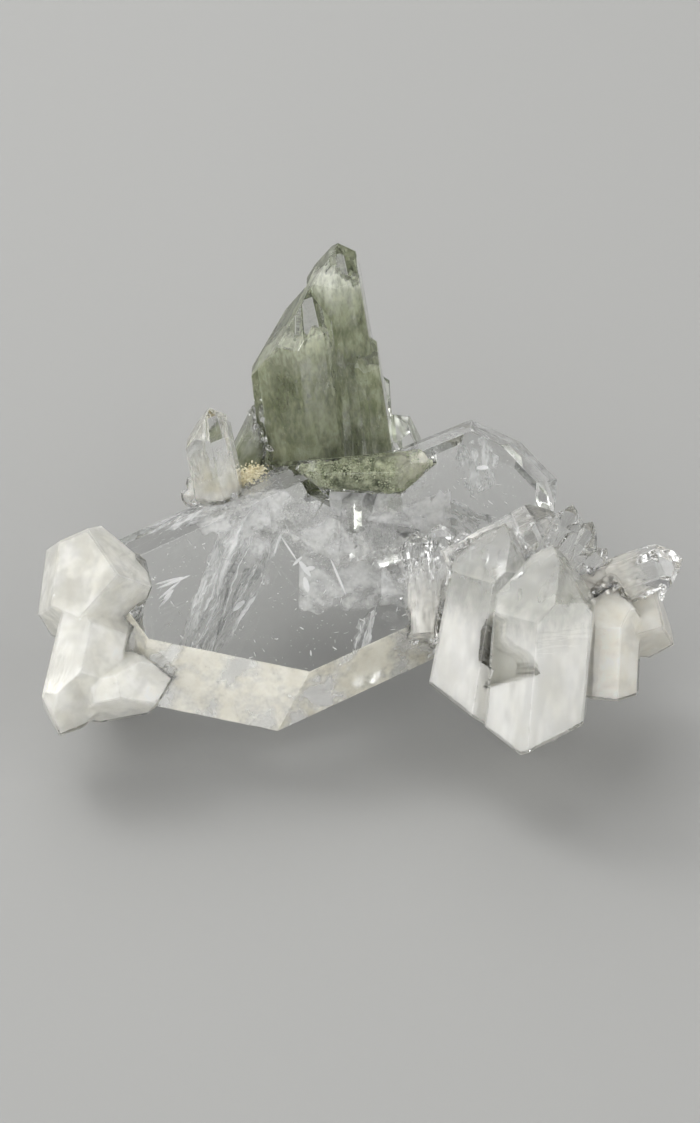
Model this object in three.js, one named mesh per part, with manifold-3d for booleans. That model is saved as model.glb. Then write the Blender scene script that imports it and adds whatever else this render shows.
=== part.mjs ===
// Faden quartz with chlorite: a thumbnail cluster of intergrown quartz crystals, about 43 mm wide.
//
// A clear tabular crystal lies tilted towards the front. Green prisms stand at its back edge, a mossy green
// crystal lies in front of them, milky crystals cap the left end, and a spray of milky and clear crystals
// covers the right end. Millimetres, +Z up, front towards -Y. The cluster rests on z = 0 on three points:
// the root behind the tower and one hidden crystal under each end. The origin is the middle of the footprint.
import * as THREE from 'three';
import { ConvexGeometry } from 'three/addons/geometries/ConvexGeometry.js';
import { mergeVertices } from 'three/addons/utils/BufferGeometryUtils.js';
import Module from 'manifold-3d';

const wasm = await Module();
wasm.setup();

// Driving dimensions, in millimetres and degrees.
const RHOMB_TILT = 51.8; // from the c axis to the normal of a rhombohedral face, the same in all quartz
const PRISM_TURN = 60; // between neighbouring prism faces
const SEAM = 0.3; // clearance where one crystal has grown against another
const TABLE = 0; // height that the cluster stands on

const PLATE_CENTRE = [-0.5, -1.0, 9.1];
const PLATE_NORMAL = [0.05, -0.47, 0.88]; // the broad face looks up and towards the front
const PLATE_TOP = 3.0; // from the plate's widest outline up to its broad upper face
const PLATE_BOTTOM = 2.4; // and down to its lower face

// How far alternate end faces stand back, so that three of them dominate a tip.
const EVEN_TIP = [0, 0.2, 0, 0.2, 0, 0.2];
const SHARP_TIP = [0, 0.5, 0, 0.5, 0, 0.5];
const CUBE_TIP = [0, 2.0, 0, 2.0, 0, 2.0];

// Tolerances of the corner search, in millimetres.
const PARALLEL = 1e-6;
const ON_FACE = 1e-6;
const SAME_POINT = 1e-3;

const CLEAR = { color: 0xdfe4e2, roughness: 0.08, metalness: 0, flatShading: true };
const MILKY = { color: 0xe9e9ea, roughness: 0.35, metalness: 0, flatShading: true };
const GREEN = { color: 0x8b9478, roughness: 0.25, metalness: 0, flatShading: true };
const MOSSY = { color: 0x6f7c5a, roughness: 0.55, metalness: 0, flatShading: true };

const vector = (values) => new THREE.Vector3(...values);
const radians = THREE.MathUtils.degToRad;

/** A flat face through a point: the crystal lies on the side that its normal looks away from. */
function face(normal, through) {
  const unit = normal.clone().normalize();
  return { normal: unit, offset: unit.dot(through) };
}

/** A direction that leans from one unit vector towards another by an angle in degrees. */
function between(first, second, angle) {
  const lean = radians(angle);
  return first.clone().multiplyScalar(Math.cos(lean)).addScaledVector(second, Math.sin(lean));
}

/**
 * A quartz crystal as a list of faces: six prism faces round the c axis, and six rhombohedral faces at its tip.
 * tip: the point where the end faces that stand at 0 meet.
 * axis: the c axis, pointing to the tip. facing: where prism face 0 looks; the others follow round the axis.
 * sides: each prism face's distance from the axis at the tip's height. taper: how much they lean in to the tip.
 * set: how far each end face stands back from the tip. foot: the same for the far end, which is else cut flat.
 * cuts: broken faces, each with a normal and a point.
 */
function quartz({ tip, axis, facing, sides, set, length, foot, taper = 0, cuts = [] }) {
  const up = vector(axis).normalize();
  const down = up.clone().negate();
  const ahead = vector(facing).projectOnPlane(up).normalize();
  const beside = new THREE.Vector3().crossVectors(up, ahead);
  const top = vector(tip);
  const end = top.clone().addScaledVector(down, length);
  const faces = cuts.map(({ normal, at }) => face(vector(normal), vector(at)));
  for (let k = 0; k < sides.length; k += 1) {
    const out = between(ahead, beside, PRISM_TURN * k);
    const cap = between(up, out, RHOMB_TILT);
    faces.push(face(between(out, up, taper), top.clone().addScaledVector(out, sides[k])));
    faces.push(face(cap, top.clone().addScaledVector(cap, set[k])));
    if (foot) {
      const heel = between(down, out, RHOMB_TILT);
      faces.push(face(heel, end.clone().addScaledVector(heel, foot[k])));
    }
  }
  if (!foot) faces.push(face(down, end));
  return faces;
}

/**
 * A tabular crystal: two broad faces and a rim. Each side of the rim has an angle in the plate's plane,
 * the reach of its widest edge from the centre, and the slopes of its bevels above and below that edge.
 */
function tablet(rim) {
  const up = vector(PLATE_NORMAL).normalize();
  const down = up.clone().negate();
  const right = new THREE.Vector3(1, 0, 0).projectOnPlane(up).normalize();
  const back = new THREE.Vector3().crossVectors(up, right);
  const centre = vector(PLATE_CENTRE);
  const faces = [
    face(up, centre.clone().addScaledVector(up, PLATE_TOP)),
    face(down, centre.clone().addScaledVector(down, PLATE_BOTTOM)),
  ];
  for (const { angle, reach, above, below } of rim) {
    const out = between(right, back, angle);
    const edge = centre.clone().addScaledVector(out, reach);
    faces.push(face(between(up, out, above), edge));
    faces.push(face(between(down, out, below), edge));
  }
  return faces;
}

/** The point where three faces meet, or null where two of them run parallel. */
function meetingPoint(first, second, third, grow) {
  const across = new THREE.Vector3().crossVectors(first.normal, second.normal);
  const spread = across.dot(third.normal);
  if (Math.abs(spread) < PARALLEL) return null;
  return across
    .multiplyScalar(third.offset + grow)
    .addScaledVector(new THREE.Vector3().crossVectors(second.normal, third.normal), first.offset + grow)
    .addScaledVector(new THREE.Vector3().crossVectors(third.normal, first.normal), second.offset + grow)
    .divideScalar(spread);
}

/** A convex crystal's corners: the meeting points that lie inside every face, once all are moved out by grow. */
function cornersOf(faces, grow) {
  const corners = [];
  for (let a = 0; a < faces.length; a += 1) {
    for (let b = a + 1; b < faces.length; b += 1) {
      for (let c = b + 1; c < faces.length; c += 1) {
        const point = meetingPoint(faces[a], faces[b], faces[c], grow);
        const inside = point && faces.every(({ normal, offset }) => normal.dot(point) <= offset + grow + ON_FACE);
        if (inside && corners.every((corner) => corner.distanceTo(point) > SAME_POINT)) corners.push(point);
      }
    }
  }
  return corners;
}

/** A convex crystal as a closed solid. */
function solidOf(faces, grow) {
  const hull = new ConvexGeometry(cornersOf(faces, grow));
  hull.deleteAttribute('normal');
  const merged = mergeVertices(hull, SAME_POINT);
  return new wasm.Manifold(new wasm.Mesh({
    numProp: 3,
    vertProperties: new Float32Array(merged.attributes.position.array),
    triVerts: new Uint32Array(merged.index.array),
  }));
}

/** Crystals that have grown through each other, as one solid. */
function grownTogether(crystals, grow = 0) {
  return crystals.map((faces) => solidOf(faces, grow)).reduce((whole, next) => whole.add(next));
}

/** The largest body of a solid, without the offcuts that trimming may leave. */
function mainBody(solid) {
  return solid.decompose().reduce((largest, body) => (body.volume() > largest.volume() ? body : largest));
}

/** The clear plate: two tablets that share their broad faces, stepped at the back edge behind the tower. */
function platePieces() {
  const frontAndLeft = [
    { angle: -62.5, reach: 7.8, above: 60, below: 60 },
    { angle: -101.3, reach: 12.0, above: 42, below: 62 },
    { angle: 172, reach: 16.5, above: 55, below: 55 },
    { angle: 216, reach: 17.0, above: 50, below: 50 },
  ];
  const rightEnd = [
    { angle: 63.6, reach: 15.2, above: 50, below: 50 },
    { angle: 40.2, reach: 16.3, above: 49, below: 55 },
    { angle: -5.5, reach: 13.7, above: 61, below: 60 },
  ];
  const backOfRight = { angle: 116, reach: 7.65, above: 54, below: 60 };
  const backOfLeft = { angle: 118.6, reach: 9.85, above: 44, below: 60 };
  const stepOfLeft = { angle: 40, reach: 4.5, above: 48, below: 55 };
  return [
    tablet([backOfRight, ...rightEnd, ...frontAndLeft]),
    tablet([backOfLeft, stepOfLeft, ...frontAndLeft]),
  ];
}

/** The green tower: a tall prism, a broad one, a thin one, and the root that reaches the table with its suckers. */
function towerPieces() {
  const facing = [-1, 0, 0];
  const tall = quartz({
    tip: [-1.4, 9.5, 29.2], axis: [-0.087, 0.035, 1], facing, length: 20, taper: 4,
    sides: [2.1, 1.9, 1.8, 1.2, 1.7, 1.9], set: [0, 0.25, 0.2, 0.7, 0, 0.3], foot: SHARP_TIP,
  });
  const broad = quartz({
    tip: [-3.2, 8.5, 26.55], axis: [-0.1, 0.035, 1], facing, length: 19, taper: 1.5,
    sides: [4.5, 3.1, 2.0, 1.2, 1.8, 2.4], set: [0, 0.5, 0, 0.6, 0.1, 0.4], foot: SHARP_TIP,
  });
  const thin = quartz({
    tip: [0.2, 8.4, 23.0], axis: [-0.11, 0.035, 1], facing, length: 11, taper: 2,
    sides: [1.3, 1.6, 1.6, 1.0, 1.5, 1.2], set: EVEN_TIP, foot: EVEN_TIP,
  });
  const root = quartz({
    tip: [0.4, 12.2, 18.0], axis: [-0.06, -0.06, 1], facing, length: 20, taper: 1,
    sides: [1.8, 1.6, 1.7, 1.8, 1.6, 1.7], set: SHARP_TIP,
  });
  const leftSucker = quartz({
    tip: [-5.2, 12.6, 4.6], axis: [-0.45, 0.12, -1], facing, length: 11, taper: 1,
    sides: [1.4, 1.5, 1.3, 1.4, 1.5, 1.3], set: SHARP_TIP, foot: EVEN_TIP,
  });
  const rightSucker = quartz({
    tip: [5.0, 13.4, 7.2], axis: [0.4, 0.25, -1], facing, length: 8, taper: 1,
    sides: [1.2, 1.1, 1.2, 1.1, 1.2, 1.1], set: SHARP_TIP, foot: EVEN_TIP,
  });
  return [tall, broad, thin, root, leftSucker, rightSucker];
}

/** The mossy crystal that lies on the plate: thin at its left end, blunt at its right. */
function mossyPieces() {
  return [quartz({
    tip: [5.3, 2.75, 15.95], axis: [1, 0.02, 0.02], facing: [0, -0.47, 0.88], length: 9.6, taper: -4,
    sides: [1.7, 2.1, 2.1, 1.5, 1.15, 1.15], set: [0.1, 0, 0, 0.3, 0.2, 0.2], foot: EVEN_TIP,
  })];
}

/** A clear point at the back left corner, with two buds at its foot. */
function backLeftPieces() {
  const point = quartz({
    tip: [-10.0, 4.5, 19.4], axis: [-0.14, 0.07, 1], facing: [-1, 0, 0], length: 9, taper: 1,
    sides: [2.0, 1.5, 1.4, 1.05, 1.4, 1.5], set: [0, 0.15, 0, 0.35, 0, 0.15],
  });
  const buds = [
    { tip: [-12.4, 5.8, 11.6], axis: [-0.9, 0.1, 0.45], side: 0.6 },
    { tip: [-11.9, 6.1, 12.6], axis: [-0.7, 0.1, 0.7], side: 0.5 },
  ].map(({ tip, axis, side }) => quartz({
    tip, axis, facing: [0, 0, 1], length: 3, sides: Array(6).fill(side), set: EVEN_TIP,
  }));
  return [point, ...buds];
}

/** A greenish crystal that leans to the right behind the tower's left edge. */
function backWedgePieces() {
  return [quartz({
    tip: [-5.1, 8.4, 18.0], axis: [0.42, 0.15, 0.9], facing: [-1, 0, 0.4], length: 9, taper: 1,
    sides: [1.5, 1.4, 1.4, 1.4, 1.4, 1.4], set: EVEN_TIP,
  })];
}

/** Milky crystals that end the plate on the left, and the point below them that touches the table. */
function leftPieces() {
  const upper = quartz({
    tip: [-15.5, -7.2, 14.0], axis: [0.387, -0.652, 0.693], facing: [0.37, -0.547, -0.752], length: 11.5,
    sides: [4.2, 2.9, 3.2, 3.7, 3.2, 3.4], set: CUBE_TIP, foot: CUBE_TIP,
  });
  const lower = quartz({
    tip: [-19.5, -12.3, 4.6], axis: [-0.19, -0.81, -0.61], facing: [-0.95, 0.1, 0.2], length: 11,
    sides: [1.6, 3.0, 3.2, 3.0, 3.0, 2.4], set: SHARP_TIP, foot: SHARP_TIP,
  });
  const front = quartz({
    tip: [-12.0, -9.9, 7.6], axis: [0.975, -0.09, 0.29], facing: [0, -0.8, 0.59], length: 8,
    sides: [2.4, 1.8, 1.8, 2.4, 2.0, 2.0], set: SHARP_TIP, foot: SHARP_TIP,
  });
  const below = quartz({
    tip: [-17.0, -2.5, TABLE], axis: [0.05, -0.1, -1], facing: [0.3, -1, 0], length: 8,
    sides: [2.4, 2.2, 2.4, 2.2, 2.4, 2.2], set: SHARP_TIP,
  });
  return [upper, lower, front, below];
}

/** The big milky block at the right front, a shorter one on its left, and the point under them. */
function rightBlockPieces() {
  const facing = [-0.62, -0.79, 0];
  const brokenLeft = [-0.56, -0.4, -0.72];
  const brokenRight = [0.41, -0.46, -0.8];
  const lowestCorner = [10.4, -15.9, 6];
  const big = quartz({
    tip: [12.5, -7.5, 16.6], axis: [0.06, 0.38, 0.92], facing, length: 14,
    sides: [3.4, 3.1, 3.0, 2.8, 2.8, 3.3], set: SHARP_TIP,
    cuts: [{ normal: brokenLeft, at: lowestCorner }, { normal: brokenRight, at: lowestCorner }],
  });
  const short = quartz({
    tip: [9.6, -4.8, 16.4], axis: [0.14, 0.38, 0.9], facing, length: 14, taper: 2,
    sides: [2.6, 2.6, 2.4, 2.4, 2.4, 2.8], set: SHARP_TIP,
    cuts: [{ normal: brokenLeft, at: [4.6, -9.5, 7] }],
  });
  const below = quartz({
    tip: [12.2, -7.5, TABLE], axis: [0.1, 0.1, -1], facing: [-0.3, -1, 0], length: 12,
    sides: [2.6, 2.4, 2.6, 2.4, 2.6, 2.4], set: SHARP_TIP,
  });
  return [big, short, below];
}

/** Three thin prisms side by side on the plate, left of the block. */
function thinPrismPieces() {
  return [
    { tip: [4.0, -1.2, 13.2], sides: [0.9, 1.0, 1.2, 1.5, 1.0, 0.9], length: 7.5 },
    { tip: [5.5, -0.9, 13.6], sides: [1.0, 1.1, 1.3, 1.5, 1.1, 1.0], length: 8.5 },
    { tip: [7.0, -2.3, 14.0], sides: [1.0, 1.1, 1.3, 1.8, 1.1, 1.0], length: 5.5 },
  ].map((prism) => quartz({ ...prism, axis: [-0.04, 0.8, 0.58], facing: [0, -0.58, 0.8], set: EVEN_TIP }));
}

/** A stout prism that slants up to the right over the plate's corner. */
function slantedPieces() {
  return [quartz({
    tip: [13.1, -2.8, 15.8], axis: [0.87, 0.27, 0.38], facing: [-0.35, -0.2, 0.9], length: 8,
    sides: [1.3, 1.9, 2.2, 2.4, 2.0, 1.3], set: EVEN_TIP,
  })];
}

/** A fan of small clear points at the right. */
function fanPieces() {
  const shape = [1, 1.1, 0.9, 1, 1.1, 0.9];
  return [
    { tip: [14.2, -2.4, 16.2], axis: [0.25, 0.25, 0.9], size: 1.1, length: 5 },
    { tip: [15.6, -2.5, 14.9], axis: [0.5, 0.2, 0.8], size: 1.2, length: 5.5 },
    { tip: [16.6, -3.2, 13.2], axis: [0.65, 0.15, 0.6], size: 1.3, length: 6 },
  ].map(({ tip, axis, size, length }) => quartz({
    tip, axis, facing: [0, -1, 0.5], length, sides: shape.map((share) => share * size), set: EVEN_TIP,
  }));
}

/** The clear point that sticks out to the right. */
function farPointPieces() {
  return [quartz({
    tip: [21.6, -3.6, 12.6], axis: [0.95, 0.2, 0.28], facing: [0, -0.6, 0.8], length: 8, taper: 1,
    sides: [1.4, 1.5, 1.6, 1.5, 1.4, 1.5], set: [0.1, 0.4, 0, 0.4, 0, 0.4],
  })];
}

/** Milky blocks under the clear point. */
function farBlockPieces() {
  const outer = quartz({
    tip: [20.2, -7.5, 9.9], axis: [0.45, -0.72, 0.37], facing: [0.9, 0.1, 0.3], length: 7,
    sides: [2.1, 2.2, 2.4, 2.6, 2.5, 2.7], set: CUBE_TIP,
  });
  const inner = quartz({
    tip: [16.8, -5.4, 12], axis: [0.02, 0.4, 0.9], facing: [-0.2, -0.98, 0], length: 7.5,
    sides: [2.0, 1.8, 1.8, 1.8, 1.8, 1.8], set: SHARP_TIP,
  });
  return [outer, inner];
}

// Each piece is trimmed, with a seam, by the pieces before it.
const PIECES = [
  { name: 'left_milky_crystals', finish: MILKY, crystals: leftPieces() },
  { name: 'right_milky_block', finish: MILKY, crystals: rightBlockPieces() },
  { name: 'far_milky_blocks', finish: MILKY, crystals: farBlockPieces() },
  { name: 'faden_plate', finish: CLEAR, crystals: platePieces() },
  { name: 'chlorite_tower', finish: GREEN, crystals: towerPieces() },
  { name: 'mossy_crystal', finish: MOSSY, crystals: mossyPieces() },
  { name: 'back_left_point', finish: CLEAR, crystals: backLeftPieces() },
  { name: 'back_wedge', finish: GREEN, crystals: backWedgePieces() },
  { name: 'thin_prisms', finish: CLEAR, crystals: thinPrismPieces() },
  { name: 'slanted_prism', finish: CLEAR, crystals: slantedPieces() },
  { name: 'clear_fan', finish: CLEAR, crystals: fanPieces() },
  { name: 'far_clear_point', finish: CLEAR, crystals: farPointPieces() },
];

/** A three.js mesh of a solid. */
function meshOf(name, solid, finish) {
  const { vertProperties, triVerts } = solid.getMesh();
  const geometry = new THREE.BufferGeometry();
  geometry.setAttribute('position', new THREE.BufferAttribute(new Float32Array(vertProperties), 3));
  geometry.setIndex(new THREE.BufferAttribute(new Uint32Array(triVerts), 1));
  geometry.computeVertexNormals();
  const mesh = new THREE.Mesh(geometry, new THREE.MeshStandardMaterial(finish));
  mesh.name = name;
  return mesh;
}

const specimen = new THREE.Group();
const grownPieces = [];
for (const { name, finish, crystals } of PIECES) {
  const trimmed = grownPieces.reduce((solid, earlier) => solid.subtract(earlier), grownTogether(crystals));
  specimen.add(meshOf(name, mainBody(trimmed.trimByPlane([0, 0, 1], TABLE)), finish));
  grownPieces.push(grownTogether(crystals, SEAM));
}
const footprint = new THREE.Box3().setFromObject(specimen).getCenter(new THREE.Vector3());
specimen.position.set(-footprint.x, -footprint.y, -TABLE);

export default specimen;
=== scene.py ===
"""Faden quartz with chlorite: the look of a small cluster of intergrown quartz crystals.

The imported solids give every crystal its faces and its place. Here each of them becomes a clear skin with its
seams grown shut, and gets what shows inside it: the milky faden thread and the veils of the plate, the green
chlorite phantoms of the tower, moss, milky cores, fractures and the tiny crystals at the joins.

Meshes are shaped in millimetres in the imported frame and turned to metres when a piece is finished.
"""

from __future__ import annotations

import logging
import math
import random
from collections.abc import Sequence
from dataclasses import dataclass, field, replace
from enum import Enum

import bmesh
import bpy
import numpy as np
from mathutils import Matrix, Vector, noise
from mathutils.bvhtree import BVHTree


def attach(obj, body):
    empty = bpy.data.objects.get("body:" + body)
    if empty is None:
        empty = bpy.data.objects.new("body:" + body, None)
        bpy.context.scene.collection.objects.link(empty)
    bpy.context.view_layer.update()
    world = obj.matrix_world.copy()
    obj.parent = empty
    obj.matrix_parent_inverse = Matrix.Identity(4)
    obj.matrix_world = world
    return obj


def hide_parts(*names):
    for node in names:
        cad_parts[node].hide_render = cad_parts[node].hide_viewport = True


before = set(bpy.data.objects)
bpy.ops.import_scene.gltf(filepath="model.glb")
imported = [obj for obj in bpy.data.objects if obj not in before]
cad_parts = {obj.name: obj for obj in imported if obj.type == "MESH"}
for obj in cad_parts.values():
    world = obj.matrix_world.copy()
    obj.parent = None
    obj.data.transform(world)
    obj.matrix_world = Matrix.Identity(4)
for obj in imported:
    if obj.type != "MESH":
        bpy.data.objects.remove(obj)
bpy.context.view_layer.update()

LOG = logging.getLogger("faden_quartz")

MM = 0.001
BODY = "root"
QUARTZ_IOR = 1.544

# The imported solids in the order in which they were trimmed: each stops a seam short of those before it.
GROWTH_ORDER = (
    "left_milky_crystals",
    "right_milky_block",
    "far_milky_blocks",
    "faden_plate",
    "chlorite_tower",
    "mossy_crystal",
    "back_left_point",
    "back_wedge",
    "thin_prisms",
    "slanted_prism",
    "clear_fan",
    "far_clear_point",
)
# How wide the seams are, and how far a closed one reaches into the neighbour.
SEAM = 0.3
OVERLAP = 0.06
# Faces that turn less than this into each other are one face of the crystal.
FLAT = math.radians(0.4)
# Edges that turn more than this are rounded.
SHARP = math.radians(8)
# The cosine above which two faces lie in one plane.
SAME_PLANE = 0.9995
# A step just past a surface, and the area of a face too small to show, in millimetres.
HAIR = 0.0005
SPECK = 0.003
# The angle of a quartz tip's faces to its base.
TIP_ANGLE = 51.8

# The plate's own axes: right along its long side, back up its slope, and out of its broad face.
PLATE_CENTRE = Vector((-0.597, -0.892, 9.1))
PLATE_OUT = Vector((0.05, -0.47, 0.88)).normalized()
PLATE_RIGHT = (Vector((1, 0, 0)) - PLATE_OUT * PLATE_OUT.x).normalized()
PLATE_BACK = PLATE_OUT.cross(PLATE_RIGHT)

Span = tuple[float, float]

# The directions that the crystals of each group point.
UPRIGHT = (-0.09, 0.035, 1.0)
SLANTED = (0.87, 0.27, 0.38)
BLOCK_AXIS = (0.06, 0.38, 0.92)
THIN_AXIS = (-0.04, 0.8, 0.58)
FAN_AXIS = (0.45, 0.2, 0.8)
FAR_AXIS = (0.95, 0.2, 0.28)


def on_plate(right: float, back: float, out: float) -> Vector:
    """A point in the plate.

    Args:
        right: millimetres to the right of the plate's centre.
        back: millimetres up its slope.
        out: millimetres above its mid-plane.

    Returns:
        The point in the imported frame.
    """
    return PLATE_CENTRE + PLATE_RIGHT * right + PLATE_BACK * back + PLATE_OUT * out


def linear(hex_code: str) -> tuple[float, float, float, float]:
    """A colour for a shader.

    Args:
        hex_code: the sRGB colour, such as "#c8d0b4".

    Returns:
        Its linear red, green, blue and an alpha of 1.
    """
    shares = [int(hex_code[k : k + 2], 16) / 255 for k in (1, 3, 5)]
    straight = [s / 12.92 if s <= 0.04045 else ((s + 0.055) / 1.055) ** 2.4 for s in shares]
    return (*straight, 1.0)


def per_metre(size: float) -> float:
    """The scale of a texture whose features are this many millimetres wide."""
    return 1 / (size * MM)


def add(
    tree: bpy.types.NodeTree, kind: str, inputs: dict[str | int, object] | None = None, **settings: object
) -> bpy.types.Node:
    """Adds a node to a tree.

    Args:
        tree: the node tree.
        kind: the node's type, without the words that all of them start with.
        inputs: what each socket holds, or the node or output that feeds it, by the socket's name or number.
        settings: the node's own settings by name.

    Returns:
        The new node.
    """
    made = tree.nodes.new(f"ShaderNode{kind}")
    for key, value in settings.items():
        setattr(made, key, value)
    for key, value in (inputs or {}).items():
        if isinstance(value, bpy.types.Node):
            value = value.outputs[0]
        if isinstance(value, bpy.types.NodeSocket):
            tree.links.new(value, made.inputs[key])
        else:
            made.inputs[key].default_value = value
    return made


def blank_material(name: str) -> tuple[bpy.types.Material, bpy.types.NodeTree]:
    """A material without nodes.

    Args:
        name: the material's name.

    Returns:
        The material and its node tree.
    """
    material = bpy.data.materials.new(name)
    material.use_nodes = True
    material.node_tree.nodes.clear()
    return material, material.node_tree


def placed(name: str, data: bpy.types.ID) -> bpy.types.Object:
    """Puts an object in the scene.

    Args:
        name: its name.
        data: its mesh, camera or lamp.

    Returns:
        The object.
    """
    made = bpy.data.objects.new(name, data)
    bpy.context.scene.collection.objects.link(made)
    return made


def stretched_places(tree: bpy.types.NodeTree, axis: Sequence[float], stretch: float) -> bpy.types.NodeSocket:
    """Object coordinates drawn out along an axis, so that a pattern on them gets squeezed along it.

    Args:
        tree: the node tree.
        axis: the direction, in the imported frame.
        stretch: how many times longer the coordinates get along it.

    Returns:
        The output that carries them.
    """
    places = add(tree, "TexCoord").outputs["Object"]
    unit = Vector(axis).normalized()
    along = add(tree, "VectorMath", {0: places, 1: unit}, operation="DOT_PRODUCT").outputs["Value"]
    extra = add(tree, "VectorMath", {0: unit * (stretch - 1), "Scale": along}, operation="SCALE")
    return add(tree, "VectorMath", {0: places, 1: extra}, operation="ADD").outputs[0]


@dataclass(frozen=True)
class RockCrystal:
    """Clear quartz as it grew: faces smooth as glass, with faint growth lines across the prisms.

    The eye sees sharp reflections that break a little at the growth lines, and a few etched dull patches.
    """

    name: str
    axis: tuple[float, float, float] = UPRIGHT
    depth_tint: str = "#e8eee6"
    density: float = 25.0
    line_spacing: float = 0.5
    line_length: float = 6.0
    line_height: float = 0.005
    polish: float = 0.015
    etched: float = 0.16
    etched_patch: float = 2.2

    def material(self) -> bpy.types.Material:
        """The finish as a material."""
        material, tree = blank_material(self.name)
        places = add(tree, "TexCoord").outputs["Object"]
        lined = stretched_places(tree, self.axis, self.line_length)
        spacing = per_metre(self.line_spacing * self.line_length)
        lines = add(tree, "TexNoise", {"Vector": lined, "Scale": spacing, "Detail": 3.0, "Roughness": 0.55})
        size = per_metre(self.etched_patch)
        patches = add(tree, "TexNoise", {"Vector": places, "Scale": size, "Detail": 4.0, "Roughness": 0.6})
        limits = {"From Min": 0.55, "From Max": 0.72, "To Min": self.polish, "To Max": self.etched}
        shader = add(
            tree,
            "BsdfPrincipled",
            {
                "Base Color": (1, 1, 1, 1),
                "IOR": QUARTZ_IOR,
                "Transmission Weight": 1.0,
                "Roughness": add(tree, "MapRange", {"Value": patches, **limits}),
                "Normal": add(
                    tree, "Bump", {"Height": lines, "Strength": 0.6, "Distance": self.line_height * MM}
                ),
            },
        )
        depth = add(tree, "VolumeAbsorption", {"Color": linear(self.depth_tint), "Density": self.density})
        add(tree, "OutputMaterial", {"Surface": shader, "Volume": depth})
        return material


@dataclass(frozen=True)
class Fade:
    """Where a cloud thins out: along a direction, from one distance to another, in millimetres."""

    axis: tuple[float, float, float]
    start: float
    end: float
    left: float = 0.0


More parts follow.
